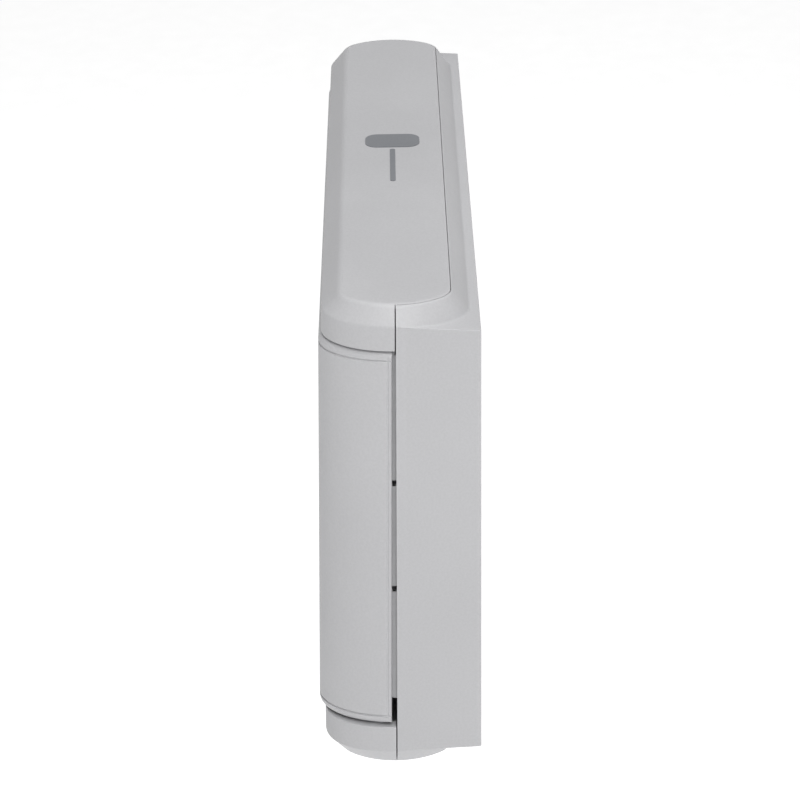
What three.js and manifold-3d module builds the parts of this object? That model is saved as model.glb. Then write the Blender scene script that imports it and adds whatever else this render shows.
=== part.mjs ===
// Wall-mounted dispenser for half-fold paper seat covers: a tray-shaped back shell, a cover that
// swings down on two hinges under the shell, a wrap-around front panel with the dispensing
// opening, a quarter-turn key lock, and the fittings that guide and carry the paper packs.
//
// Millimetres, +Z up. The wall is the plane Y = 0 and the front faces -Y, so a place is given
// here as its depth: the distance from the wall, with Y = -depth. +X is the right-hand end as
// seen by someone who stands in front.
import * as THREE from "three";
import { mergeVertices } from "three/addons/utils/BufferGeometryUtils.js";
import Module from "manifold-3d";

const wasm = await Module();
wasm.setup();

// ---- Driving dimensions ----
const WIDTH = 413; // over the end faces
const HEIGHT = 273.6; // over the raised top and bottom
const RISE = 10.1; // how far the raised top and bottom stand beyond the end faces
const SEAM = 42.7; // depth of the joint between shell and cover, at the top
const FRONT = 80.2; // depth of the cover's front, at the top
const SEAM_LEAN = 0.00027; // share by which the seam's depth grows for each mm below the top
const FRONT_LEAN = 0.00021; // and the front's
const WALL = 2.8; // thickness of the shell and cover mouldings
const GAP = 0.3; // half of the seam between shell and cover
const DRAFT = 2.3; // how far the shell's top and bottom close in towards the wall

const CORNER_X = 27.5; // the cover's corners in plan: quarter ellipses, this long in X
const BASE_HALF = FRONT - SEAM; // half depth of the raised top where it starts
const PLATEAU_HALF = 28.4; // half depth of its flat field
const PLATEAU_SET = 5.8; // from an end face to the flat field's end
const PLATEAU_END_R = 38; // radius of the flat field's bowed ends
const PLATEAU_FILLET = 14; // and of its four corners
const PLATEAU_GAP = 0.6; // round the flat field where it lies over the shell
const FOOT_SET = 0.4; // from the body's outline to the foot of the slopes
const FOOT_SINK = 0.3; // how far the slopes run on below the surface they rise from

const PANEL_TOP = 112.5; // upper edge of the front panel
const PANEL_BOTTOM = -108.4; // and its lower edge
const PANEL_PROUD_TOP = 1.8; // how far the upper edge stands in front of the cover
const PANEL_PROUD_BOTTOM = 3.1; // and the lower edge
const PANEL_WALL = 2.8;
const PANEL_EDGE = 1.6; // from the seam to the panel's rear edge
const RECESS = 4; // how far the cover is set back behind the panel
const RECESS_WALL = 2.5; // its thickness there
const RECESS_TOP = PANEL_TOP + 0.8;
const RECESS_BOTTOM = PANEL_BOTTOM - 2.9;
const LIP = 5; // how far the cover's ends reach into the shell
const SNAP_SLOTS = [36.3, -26.8]; // heights of the slots above and below each snap tab
const SNAP_SLOT = 3.5; // height of one slot
const SLOT_DEPTH = [SEAM - 8, SEAM + 7]; // the slots run from and to these depths
const SLOT_INSET = [12, 1]; // and across these distances in from an end face
const LIP_BOTTOM = -94.5; // the cover's ends are open to the seam below this
const BEAD = { x: 202.4, half: 0.3, depth: [SEAM - LIP, SEAM - 3.5], z: [-18, 33] }; // on a lip

const OPENING_Z = -12; // centre of the dispensing opening
const OPENING_HALF = [100, 31]; // half its clear width and height
const TRIM_WALL = 2;
const TRIM_FLANGE = 5; // width of the trim's flange on the panel
const TRIM_LIFT = 1.3; // its thickness
const TRIM_DEPTH = 12; // how far the trim's sleeve reaches in behind the panel's face
const TRIM_CLEAR = 0.35;

const LOCK_Z = 92;
const LOCK_R = 9.5; // barrel
const LOCK_HEAD_R = 12;
const LOCK_SUNK = 0.4; // how far the head lies below the panel's face
const LOCK_PLUG_R = 7.2;
const LOCK_PLUG_SUNK = 0.4; // and the plug below the head
const LOCK_BACK = 58; // depth of the barrel's rear end
const KEY_SLOT = { half: 1, deep: 9, high: 4.5 };
const CAM_REACH = 27;
const CAM_HUB_R = 8;
const CAM_TIP_R = 5;
const CAM_WALL = 2;
const CAM_DEPTH = LOCK_BACK - 3.4; // of its rear face
const NUT_R = 13.5; // across corners
const NUT_WALL = 3.6;
const KEEPER_HALF = 16; // half its width
const KEEPER_WALL = 2;
const KEEPER_REAR = 24; // depth of its rear edge
const KEEPER_LIP_GAP = 9; // from the barrel up to the keeper's lip
const KEEPER_SCREW_X = 9;
const KEEPER_SCREW_DEPTH = 32;

const HINGE_X = 140; // centre of each hinge
const HINGE_R = 2.7; // knuckles, and the rolled rear edge of the cover's bottom
const HINGE_PIN_R = 1.2;
const COVER_KNUCKLE = 30; // length of the cover's knuckle
const SHELL_KNUCKLE = 16; // and of each shell knuckle beside it
const KNUCKLE_GAP = 0.5;
const ROLL_HALF = 181; // half the length of the rolled edge
const PIN_LENGTH = 74;
const PIN_CLEAR = [0.15, 0.3]; // round a pin in the shell's knuckles and in the cover's
const SWING_X = [180, 192]; // where the lower field's rear corners swing past the shell

const PACK_HALF = 187.5; // half the space between the pack guides
const GUIDE = { wall: 2, depth: 36, z: [-96, 104], flange: 12, flangeZ: [-70, 85] };
const SHELF_Z = -100; // top of the pack shelf
const SHELF = { half: 180, depth: [9, 39], wall: 2.2, lip: 5, legs: [-170, -60, 60, 170] };
const SHELF_LEG_HALF = 1.1;
const FIT = 0.4; // between the shell and what is fixed to it

const RIB_X = [-120, -40, 40, 120];
const RIB = { half: 0.9, high: 4, z: 116 };
const STOP_X = 200;
const STOP_Z = [100, -84];
const STOP_R = 3.6;
const PAD = 3.4; // height of a pad
const PAD_R = 3.4;
const PAD_TIP_R = 2.4;
const CATCH = { x: 203.3, half: 0.5, depth: [33, 35], z: [-20, 35] }; // for a lip's bead

const SCREW_R = 1.6;
const SCREW_HEAD_R = 3.4;
const SCREW_HEAD = 2;
const SCREW_CLEAR = 0.2; // round a screw in its bore
const CROSS = [3.6, 0.8]; // length and width of the recess in a screw's head
const BOSS_R = 4;
const BOSS_CLEAR = 0.35; // from a boss to the cover
const PANEL_SCREWS = [
  [-165, 88],
  [165, 88],
  [-165, -12],
  [165, -12],
  [-165, -88],
  [165, -88],
];
const WALL_HOLE_X = 150;
const WALL_HOLE_Z = 78;
const WALL_HOLE_R = 5;
const WALL_NECK_R = 2.6;
const WALL_NECK_RISE = 10;

const MARK_TAG = { x: -22.5, long: 20, deep: 31, radius: 7 };
const MARK_BAR = { x: 14.5, long: 48, deep: 3, radius: 1.4 };
const MARK_LIFT = 0.35;
const MARK_GAP = 0.05; // below the mark
const CURVE_STEPS = 10; // facets in a quarter turn of an outer corner

const TOP = HEIGHT / 2;
const END_TOP = TOP - RISE; // top of the end faces at the seam
const KEEPER_TOP = END_TOP - WALL - 1.6;
const FAR = 400; // larger than the whole object

// ---- Solids and cuts ----
function solid(geometry) {
  const bare = geometry.clone();
  bare.deleteAttribute("normal");
  bare.deleteAttribute("uv");
  const merged = mergeVertices(bare, 1e-4);
  return new wasm.Manifold(
    new wasm.Mesh({
      numProp: 3,
      vertProperties: merged.attributes.position.array,
      triVerts: new Uint32Array(merged.index.array),
    }),
  );
}

function geometryOf(body) {
  const mesh = body.getMesh();
  const geometry = new THREE.BufferGeometry();
  geometry.setAttribute("position", new THREE.BufferAttribute(mesh.vertProperties, 3));
  geometry.setIndex(new THREE.BufferAttribute(mesh.triVerts, 1));
  geometry.computeVertexNormals();
  return geometry;
}

const join = (first, ...rest) => rest.reduce((a, b) => a.add(b), first);
const cut = (first, ...rest) => rest.reduce((a, b) => a.subtract(b), first);
const bothEnds = (make) => join(make(1), make(-1));

// Depths grow towards the bottom, so the seam and the front lean out a little.
const LEAN_FADE = (SEAM_LEAN - FRONT_LEAN) / (FRONT - SEAM);
const LEAN = SEAM_LEAN + LEAN_FADE * SEAM;
const deepAt = (depth, z) => depth * (1 + (TOP - z) * (LEAN - LEAN_FADE * depth));

function leaned(geometry) {
  const p = geometry.attributes.position;
  for (let i = 0; i < p.count; i++) p.setY(i, -deepAt(-p.getY(i), p.getZ(i)));
  return geometry;
}

// ---- Prisms, boxes and rods ----
const extrude = (shape, length, curveSegments = 8) =>
  new THREE.ExtrudeGeometry(shape, { depth: length, bevelEnabled: false, curveSegments });

// A shape drawn in X and Y, from height z0 to z1.
const upright = (shape, z0, z1) => extrude(shape, z1 - z0).translate(0, 0, z0);

// A shape drawn in X and Z, from depth d0 to d1.
function facing(shape, d0, d1, curveSegments) {
  const turn = new THREE.Matrix4().makeBasis(
    new THREE.Vector3(1, 0, 0),
    new THREE.Vector3(0, 0, 1),
    new THREE.Vector3(0, -1, 0),
  );
  return extrude(shape, d1 - d0, curveSegments).applyMatrix4(turn).translate(0, -d0, 0);
}

// A shape drawn in Y and Z, from x0 to x1.
function sideways(shape, x0, x1) {
  const turn = new THREE.Matrix4().makeBasis(
    new THREE.Vector3(0, 1, 0),
    new THREE.Vector3(0, 0, 1),
    new THREE.Vector3(1, 0, 0),
  );
  return extrude(shape, x1 - x0).applyMatrix4(turn).translate(x0, 0, 0);
}

const block = (x0, x1, d0, d1, z0, z1) =>
  new THREE.BoxGeometry(x1 - x0, d1 - d0, z1 - z0).translate(
    (x0 + x1) / 2,
    -(d0 + d1) / 2,
    (z0 + z1) / 2,
  );

// A rod along X, Y or Z about a point, given as [x, depth, z].
function rod(axis, [x, depth, z], radius, length, sides = 24) {
  const g = new THREE.CylinderGeometry(radius, radius, length, sides);
  if (axis === "x") g.rotateZ(Math.PI / 2);
  if (axis === "z") g.rotateX(Math.PI / 2);
  return g.translate(x, -depth, z);
}

const screwHole = (axis, centre, length) =>
  solid(rod(axis, centre, SCREW_R + SCREW_CLEAR, length, 16));

// A closed body through rings of points that correspond to each other.
function loft(rings) {
  const count = rings[0].length;
  const points = rings.flat();
  const faces = [];
  for (let r = 0; r + 1 < rings.length; r++)
    for (let i = 0; i < count; i++) {
      const a = r * count + i;
      const b = r * count + ((i + 1) % count);
      faces.push(a, b, b + count, a, b + count, a + count);
    }
  const top = (rings.length - 1) * count;
  for (let i = 1; i + 1 < count; i++) {
    faces.push(0, i + 1, i);
    faces.push(top, top + i, top + i + 1);
  }
  const geometry = new THREE.BufferGeometry().setFromPoints(points);
  geometry.setIndex(faces);
  return geometry;
}

// ---- Outlines ----
// The body seen from above: square at the wall, elliptical corners at the front.
function planShape(inset, proud = 0) {
  const x = WIDTH / 2 - inset;
  const deep = FRONT + proud - SEAM - inset;
  const shape = new THREE.Shape();
  shape.moveTo(-x, -inset);
  shape.lineTo(-x, -SEAM);
  for (let i = 0; i <= CURVE_STEPS; i++) {
    const a = (Math.PI / 2) * (i / CURVE_STEPS);
    const along = WIDTH / 2 - CORNER_X + (CORNER_X - inset) * Math.cos(a);
    shape.lineTo(-along, -SEAM - deep * Math.sin(a));
  }
  for (let i = CURVE_STEPS; i >= 0; i--) {
    const a = (Math.PI / 2) * (i / CURVE_STEPS);
    const along = WIDTH / 2 - CORNER_X + (CORNER_X - inset) * Math.cos(a);
    shape.lineTo(along, -SEAM - deep * Math.sin(a));
  }
  shape.lineTo(x, -inset);
  return shape;
}

// Points along the right-hand end of a ring, from its wall side to its front side.
function ellipseEnd(inset, steps) {
  const half = BASE_HALF - inset;
  return Array.from({ length: steps + 1 }, (_, i) => {
    const a = Math.PI * (i / steps - 0.5);
    const x = WIDTH / 2 - CORNER_X + (CORNER_X - inset) * Math.cos(a);
    return new THREE.Vector2(x, SEAM + half * Math.sin(a));
  });
}

// The flat field's end: a shallow arc with a fillet at each side.
function plateauEnd(grow, steps) {
  const half = PLATEAU_HALF + grow;
  const fillet = PLATEAU_FILLET + grow;
  const arc = PLATEAU_END_R + grow;
  const centreX = WIDTH / 2 - PLATEAU_SET + grow - arc;
  const side = half - fillet;
  const turn = Math.asin(side / (arc - fillet));
  const filletX = centreX + Math.sqrt((arc - fillet) ** 2 - side ** 2);
  const path = new THREE.Path();
  path.absarc(filletX, SEAM - side, fillet, -Math.PI / 2, -turn, false);
  path.absarc(centreX, SEAM, arc, -turn, turn, false);
  path.absarc(filletX, SEAM + side, fillet, turn, Math.PI / 2, false);
  return path.getSpacedPoints(steps);
}

// A whole ring from its right-hand end, at the height that zAt gives for each depth.
function ring(end, zAt) {
  const right = end.map((p) => new THREE.Vector3(p.x, -p.y, zAt(p.y)));
  const left = [...end].reverse().map((p) => new THREE.Vector3(-p.x, -p.y, zAt(p.y)));
  return [...right, ...left].reverse();
}

function plateauShape(grow) {
  const points = ring(plateauEnd(grow, 2 * CURVE_STEPS), () => 0);
  return new THREE.Shape(points.map((p) => new THREE.Vector2(p.x, p.y)));
}

function stadium(halfWidth, halfHeight) {
  const r = halfHeight;
  const shape = new THREE.Shape();
  shape.moveTo(-halfWidth + r, OPENING_Z - r);
  shape.absarc(halfWidth - r, OPENING_Z, r, -Math.PI / 2, Math.PI / 2, false);
  shape.absarc(-halfWidth + r, OPENING_Z, r, Math.PI / 2, (3 * Math.PI) / 2, false);
  return shape;
}

const openingShape = (grow) => stadium(OPENING_HALF[0] + grow, OPENING_HALF[1] + grow);

// ---- The outer form ----
// The shell's top slopes down towards the wall.
const draftedTop = (depth, inset = 0) =>
  END_TOP - inset - DRAFT * Math.max(0, 1 - depth / SEAM);

function core(inset, proud = 0) {
  const high = END_TOP - inset;
  const prism = solid(leaned(upright(planShape(inset, proud), -high, high)));
  const wedge = (sign) => {
    const shape = new THREE.Shape([
      new THREE.Vector2(1, sign * (high - DRAFT * (1 + 1 / SEAM))),
      new THREE.Vector2(-SEAM, sign * high),
      new THREE.Vector2(1, sign * (high + 5)),
    ]);
    return solid(leaned(sideways(shape, -FAR, FAR)));
  };
  return cut(prism, wedge(1), wedge(-1));
}

// The raised top, or the raised bottom for sign -1.
function hump(inset, sign) {
  const steps = 2 * CURVE_STEPS;
  const base = ellipseEnd(inset + FOOT_SET, steps);
  const field = plateauEnd(-inset * 0.6, steps);
  const rings = [
    ring(base, () => sign * (END_TOP - 12)),
    ring(base, (d) => sign * (draftedTop(d, inset) - FOOT_SINK)),
    ring(field, () => sign * (TOP - inset)),
  ];
  return solid(leaned(loft(sign > 0 ? rings : rings.reverse())));
}

const body = (inset) => join(core(inset), hump(inset, 1), hump(inset, -1));
const leanedBlock = (...sides) => solid(leaned(block(...sides)));
const plateauPrism = (grow, z0, z1) => solid(leaned(upright(plateauShape(grow), z0, z1)));

// ---- Hinge line: the rear edge of the cover's bottom field ----
const HINGE_Z = -TOP + HINGE_R;
const HINGE_DEPTH = deepAt(SEAM - PLATEAU_HALF, -TOP) + HINGE_R;
const SHELL_KNUCKLE_X = COVER_KNUCKLE / 2 + KNUCKLE_GAP + SHELL_KNUCKLE / 2;
const shellKnuckleCentres = [-1, 1].flatMap((side) =>
  [-1, 1].map((k) => side * HINGE_X + k * SHELL_KNUCKLE_X),
);

// ---- Stops: rods inside the shell, with a pad each that the cover's ends close on ----
const padSeat = (z) => deepAt(SEAM - LIP, z) - 0.3 - PAD;

// The room that those corners take on their way down.
function swingRoom() {
  const [near, far] = [HINGE_DEPTH - HINGE_R - 0.4, HINGE_DEPTH + 3];
  return bothEnds((side) => {
    const [x0, x1] = side > 0 ? SWING_X : [-SWING_X[1], -SWING_X[0]];
    return solid(block(x0, x1, near, far, -TOP - 5, HINGE_Z + 0.4));
  });
}

// ---- Back shell ----
function keyhole(x, z) {
  const hole = rod("y", [x, 0, z], WALL_HOLE_R, 20);
  const neck = new THREE.Shape();
  neck.moveTo(x - WALL_NECK_R, z);
  neck.lineTo(x + WALL_NECK_R, z);
  neck.lineTo(x + WALL_NECK_R, z + WALL_NECK_RISE);
  neck.absarc(x, z + WALL_NECK_RISE, WALL_NECK_R, 0, Math.PI, false);
  return join(solid(hole), solid(facing(neck, -5, 10)));
}

function shellKnuckle(x) {
  const half = SHELL_KNUCKLE / 2;
  const barrel = solid(rod("x", [x, HINGE_DEPTH, HINGE_Z], HINGE_R, SHELL_KNUCKLE));
  const web = block(
    x - half,
    x + half,
    HINGE_DEPTH - HINGE_R,
    HINGE_DEPTH + HINGE_R,
    HINGE_Z,
    -END_TOP + 1,
  );
  return join(barrel, solid(web));
}

function backShell() {
  const outside = body(0).intersect(leanedBlock(-FAR, FAR, -10, SEAM - GAP, -FAR, FAR));
  const underSlopes = [1, -1].map((sign) => {
    const field = plateauPrism(PLATEAU_GAP + WALL, -FAR / 2, FAR / 2);
    return hump(WALL, sign).subtract(field);
  });
  const cavity = join(core(WALL), ...underSlopes);
  const fields = [
    plateauPrism(PLATEAU_GAP, END_TOP, TOP + 5),
    plateauPrism(PLATEAU_GAP, -TOP - 5, -END_TOP),
    swingRoom(),
  ];
  const ribs = RIB_X.map((x) =>
    solid(block(x - RIB.half, x + RIB.half, WALL - 1, WALL + RIB.high, -RIB.z, RIB.z)),
  );
  const stops = bothEnds((side) => {
    const at = (z) => {
      const [from, to] = [WALL - 1, padSeat(z)];
      return solid(rod("y", [side * STOP_X, (from + to) / 2, z], STOP_R, to - from));
    };
    return join(...STOP_Z.map(at));
  });
  const catches = bothEnds((side) => {
    const [x0, x1] = [side * CATCH.x - CATCH.half, side * CATCH.x + CATCH.half];
    return solid(block(x0, x1, ...CATCH.depth, ...CATCH.z));
  });
  const tray = join(cut(outside, cavity, ...fields), ...ribs, stops, catches);
  const knuckles = shellKnuckleCentres.map(shellKnuckle);
  const pinBores = bothEnds((side) =>
    solid(rod("x", [side * HINGE_X, HINGE_DEPTH, HINGE_Z], HINGE_PIN_R + PIN_CLEAR[0], 80)),
  );
  const keeperHoles = bothEnds((side) =>
    screwHole("z", [side * KEEPER_SCREW_X, KEEPER_SCREW_DEPTH, END_TOP - 2], 20),
  );
  const wallHoles = bothEnds((side) =>
    join(
      keyhole(side * WALL_HOLE_X, WALL_HOLE_Z),
      solid(rod("y", [side * WALL_HOLE_X, 0, -WALL_HOLE_Z], WALL_NECK_R, 20)),
    ),
  );
  return cut(join(tray, ...knuckles), pinBores, keeperHoles, wallHoles);
}

// ---- Cover ----
function snapSlots() {
  const across = SLOT_INSET.map((inset) => WIDTH / 2 - inset);
  return bothEnds((side) => {
    const [x0, x1] = side > 0 ? across : [-across[1], -across[0]];
    const slot = (z) =>
      leanedBlock(x0, x1, ...SLOT_DEPTH, z - SNAP_SLOT / 2, z + SNAP_SLOT / 2);
    const corner = leanedBlock(x0, x1, ...SLOT_DEPTH, RECESS_BOTTOM, LIP_BOTTOM);
    return join(slot(SNAP_SLOTS[0]), slot(SNAP_SLOTS[1]), corner);
  });
}

function frontCover() {
  const frontHalf = leanedBlock(-FAR, FAR, SEAM + GAP, FAR, -FAR, FAR);
  const recessShape = planShape(RECESS);
  const backOfRecess = planShape(RECESS + RECESS_WALL);
  const around = solid(leaned(upright(planShape(-8), RECESS_BOTTOM, RECESS_TOP)));
  const recess = around.subtract(solid(leaned(upright(recessShape, -FAR / 2, FAR / 2))));
  const above = leanedBlock(-FAR, FAR, -10, FAR, RECESS_TOP + RECESS_WALL, FAR / 2);
  const below = leanedBlock(-FAR, FAR, -10, FAR, -FAR / 2, RECESS_BOTTOM - RECESS_WALL);
  const hollow = body(WALL);
  const middle = upright(
    backOfRecess,
    RECESS_BOTTOM - RECESS_WALL - 4,
    RECESS_TOP + RECESS_WALL + 4,
  );
  const cavity = join(hollow.intersect(above), hollow.intersect(below), solid(leaned(middle)));
  const moulding = cut(body(0).intersect(frontHalf), recess, cavity);

  const overShell = leanedBlock(-FAR, FAR, -10, SEAM + 2, -FAR / 2, FAR / 2);
  const topField = plateauPrism(-0.15, TOP - WALL, TOP).intersect(overShell);
  const bottomField = plateauPrism(-0.15, -TOP, -TOP + WALL).intersect(overShell);
  const behindHinge = solid(block(-FAR, FAR, -10, HINGE_DEPTH, -TOP - 5, -END_TOP));
  const rolledEdge = solid(rod("x", [0, HINGE_DEPTH, HINGE_Z], HINGE_R, 2 * ROLL_HALF));
  const bottom = join(cut(bottomField, behindHinge), rolledEdge);

  const lips = bothEnds((side) => {
    const outer = WIDTH / 2 - RECESS - 0.15;
    const inner = outer - RECESS_WALL + 0.3;
    const [x0, x1] = side > 0 ? [inner, outer] : [-outer, -inner];
    return leanedBlock(x0, x1, SEAM - LIP, SEAM + 2, LIP_BOTTOM - 0.5, RECESS_TOP - 4);
  });
  const snapBeads = bothEnds((side) =>
    leanedBlock(side * BEAD.x - BEAD.half, side * BEAD.x + BEAD.half, ...BEAD.depth, ...BEAD.z),
  );
  const knuckleNotches = shellKnuckleCentres.map((x) => {
    const half = SHELL_KNUCKLE / 2 + KNUCKLE_GAP;
    return solid(block(x - half, x + half, 5, HINGE_DEPTH + 4, -TOP - 5, -END_TOP - 0.5));
  });
  const pinBores = bothEnds((side) =>
    solid(rod("x", [side * HINGE_X, HINGE_DEPTH, HINGE_Z], HINGE_PIN_R + PIN_CLEAR[1], 80)),
  );
  const openings = [
    solid(facing(openingShape(TRIM_WALL + TRIM_CLEAR), 50, 100, 16)),
    solid(rod("y", [0, 75, LOCK_Z], LOCK_R + 0.3, 60, 32)),
    ...PANEL_SCREWS.map(([x, z]) => screwHole("y", [x, 75, z], 40)),
  ];
  const whole = join(moulding, topField, bottom, lips, snapBeads);
  return cut(whole, snapSlots(), ...knuckleNotches, pinBores, ...openings);
}

// ---- Front panel ----
// Depth of the panel's flat face.
function panelFace(z) {
  const [top, bottom] = [
    deepAt(FRONT, PANEL_TOP) + PANEL_PROUD_TOP,
    deepAt(FRONT, PANEL_BOTTOM) + PANEL_PROUD_BOTTOM,
  ];
  return top + ((bottom - top) * (PANEL_TOP - z)) / (PANEL_TOP - PANEL_BOTTOM);
}

// Depth of the inside face of the cover behind the panel.
const coverInside = (z) => deepAt(FRONT - RECESS - RECESS_WALL, z);

// The panel's outline at a height, standing in front of the cover by its share there.
function panelRing(inset, z) {
  const proud = panelFace(z) - deepAt(FRONT, z);
  return planShape(inset, proud)
    .getPoints()
    .map((p) => new THREE.Vector3(p.x, -deepAt(-p.y, z), z));
}

function panelBand(inset, overrun) {
  const heights = [PANEL_BOTTOM - overrun, PANEL_TOP + overrun];
  return solid(loft(heights.map((z) => panelRing(inset, z))));
}

function frontPanel() {
  const behind = leanedBlock(-FAR, FAR, -10, SEAM + PANEL_EDGE, -FAR, FAR);
  const sheet = cut(panelBand(0, 0), panelBand(PANEL_WALL, 3), behind);
  const bosses = PANEL_SCREWS.map(([x, z]) => {
    const from = deepAt(FRONT - RECESS, z) + BOSS_CLEAR;
    const to = panelFace(z) - 1;
    return solid(rod("y", [x, (from + to) / 2, z], BOSS_R, to - from));
  });
  const screwBores = PANEL_SCREWS.map(([x, z]) =>
    screwHole("y", [x, panelFace(z) - 1.8 - 10, z], 20),
  );
  const opening = solid(facing(openingShape(TRIM_WALL + TRIM_CLEAR), 50, 100, 16));
  const lockHole = solid(rod("y", [0, 80, LOCK_Z], LOCK_HEAD_R + 0.3, 40, 32));
  return cut(join(sheet, ...bosses), ...screwBores, opening, lockHole);
}

// A sleeve through panel and cover with a flange on the panel's face.
function openingTrim() {
  const lean = panelFace(0) - panelFace(1);
  const ontoFace = (grow, back, front) => {
    const shear = new THREE.Matrix4().makeShear(0, 0, 0, 0, 0, lean);
    const slab = facing(openingShape(grow), back, front, CURVE_STEPS);
    return solid(slab.applyMatrix4(shear).translate(0, -panelFace(0), 0));
  };
  const flange = ontoFace(TRIM_FLANGE, 0.3, 0.3 + TRIM_LIFT);
  const sleeve = ontoFace(TRIM_WALL, -TRIM_DEPTH, 0.8);
  const hole = solid(facing(openingShape(0), 50, 110, CURVE_STEPS));
  return cut(join(flange, sleeve), hole);
}

// ---- Lock, with the key slot upright when unlocked ----
const LOCK_FACE = panelFace(LOCK_Z) - LOCK_SUNK;
const HEAD_BACK = deepAt(FRONT - RECESS, LOCK_Z) + 0.3;
const lockRod = (radius, back, front) =>
  solid(rod("y", [0, (back + front) / 2, LOCK_Z], radius, front - back, 32));

function lockBarrel() {
  const stem = lockRod(LOCK_R, LOCK_BACK, HEAD_BACK + 1);
  const head = lockRod(LOCK_HEAD_R, HEAD_BACK, LOCK_FACE);
  const bore = solid(rod("y", [0, 70, LOCK_Z], LOCK_PLUG_R + 0.3, 60, 32));
  return cut(join(stem, head), bore);
}

function lockPlug() {
  const face = LOCK_FACE - LOCK_PLUG_SUNK;
  const { half, deep, high } = KEY_SLOT;
  const stem = lockRod(LOCK_PLUG_R, LOCK_BACK - 1, face);
  const keySlot = solid(block(-half, half, face - deep, face + 5, LOCK_Z - high, LOCK_Z + high));
  return cut(stem, keySlot, screwHole("y", [0, LOCK_BACK, LOCK_Z], 16));
}

function lockCam() {
  const shape = new THREE.Shape();
  shape.absarc(0, LOCK_Z, CAM_HUB_R, Math.PI / 2, (3 * Math.PI) / 2, false);
  shape.absarc(CAM_REACH - CAM_TIP_R, LOCK_Z, CAM_TIP_R, -Math.PI / 2, Math.PI / 2, false);
  const plate = solid(facing(shape, CAM_DEPTH, CAM_DEPTH + CAM_WALL));
  return cut(plate, screwHole("y", [0, LOCK_BACK, LOCK_Z], 20));
}

function lockNut() {
  const depth = coverInside(LOCK_Z) - 2.6;
  const hexagon = solid(rod("y", [0, depth, LOCK_Z], NUT_R, NUT_WALL, 6));
  return cut(hexagon, solid(rod("y", [0, depth, LOCK_Z], LOCK_R + 0.3, 20, 32)));
}

// ---- Keeper: a bent plate under the shell's top that the cam turns up behind ----
function keeper() {
  const lipDepth = LOCK_BACK + 0.2;
  const lipFront = lipDepth + KEEPER_WALL;
  const lipFoot = LOCK_Z + LOCK_R + KEEPER_LIP_GAP;
  const across = [-KEEPER_HALF, KEEPER_HALF];
  const plate = block(...across, KEEPER_REAR, lipFront, KEEPER_TOP - KEEPER_WALL, KEEPER_TOP);
  const lip = block(...across, lipDepth, lipFront, lipFoot, KEEPER_TOP - 1);
  const holes = bothEnds((side) =>
    screwHole("z", [side * KEEPER_SCREW_X, KEEPER_SCREW_DEPTH, KEEPER_TOP], 20),
  );
  return cut(join(solid(plate), solid(lip)), holes);
}

// ---- Shelf and guides for the paper packs ----
function packShelf() {
  const { half, wall, lip } = SHELF;
  const [rear, front] = SHELF.depth;
  const deck = block(-half, half, rear, front, SHELF_Z - wall, SHELF_Z);
  const rim = block(-half, half, front - wall, front, SHELF_Z - 2, SHELF_Z + lip);
  const foot = -END_TOP + WALL + DRAFT + FIT;
  const legs = SHELF.legs.map((x) => {
    const [x0, x1] = [x - SHELF_LEG_HALF, x + SHELF_LEG_HALF];
    return solid(block(x0, x1, rear, front - 2, foot, SHELF_Z - 1));
  });
  return join(solid(deck), solid(rim), ...legs);
}

function packGuide(side) {
  const rear = WALL + FIT;
  const outTo = (far) => (side > 0 ? [PACK_HALF, PACK_HALF + far] : [-PACK_HALF - far, -PACK_HALF]);
  const blade = block(...outTo(GUIDE.wall), rear, GUIDE.depth, ...GUIDE.z);
  const flange = block(...outTo(GUIDE.flange), rear, rear + GUIDE.wall, ...GUIDE.flangeZ);
  return join(solid(blade), solid(flange));
}

// ---- Printed mark on the top: a plain tag with a ring, and a bar ----
function roundedRectangle(x, y, width, height, radius) {
  const shape = new THREE.Shape();
  const [dx, dy] = [width / 2 - radius, height / 2 - radius];
  shape.absarc(x + dx, y + dy, radius, 0, Math.PI / 2, false);
  shape.absarc(x - dx, y + dy, radius, Math.PI / 2, Math.PI, false);
  shape.absarc(x - dx, y - dy, radius, Math.PI, 1.5 * Math.PI, false);
  shape.absarc(x + dx, y - dy, radius, 1.5 * Math.PI, 2 * Math.PI, false);
  return shape;
}

function mark({ x, long, deep, radius }) {
  const shape = roundedRectangle(x, -SEAM, long, deep, radius);
  return upright(shape, TOP + MARK_GAP, TOP + MARK_GAP + MARK_LIFT);
}

// ---- Small parts, each made about its own origin ----
// A pan-head screw along +Z, with its head's seat at the origin and a crossed recess.
function screw(length) {
  const profile = [
    [0, length],
    [SCREW_R * 0.5, length],
    [SCREW_R, length - 1.5],
    [SCREW_R, 0],
    [SCREW_HEAD_R, 0],
    [SCREW_HEAD_R, -SCREW_HEAD * 0.5],
    [SCREW_HEAD_R * 0.7, -SCREW_HEAD],
    [0, -SCREW_HEAD],
  ].map(([r, z]) => new THREE.Vector2(r, z));
  const turned = new THREE.LatheGeometry(profile.reverse(), 16).rotateX(Math.PI / 2);
  const slot = (w, h) => solid(new THREE.BoxGeometry(w, h, 2).translate(0, 0, -SCREW_HEAD));
  const [long, wide] = CROSS;
  return geometryOf(cut(solid(turned), slot(long, wide), slot(wide, long)));
}

const hingePin = () => new THREE.CylinderGeometry(HINGE_PIN_R, HINGE_PIN_R, PIN_LENGTH, 16);

function bumper() {
  const profile = [
    [0, 0],
    [PAD_R, 0],
    [PAD_R, PAD - 1.3],
    [PAD_TIP_R, PAD - 0.3],
    [0, PAD - 0.3],
  ].map(([r, z]) => new THREE.Vector2(r, z));
  return new THREE.LatheGeometry(profile, 20);
}

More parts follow.
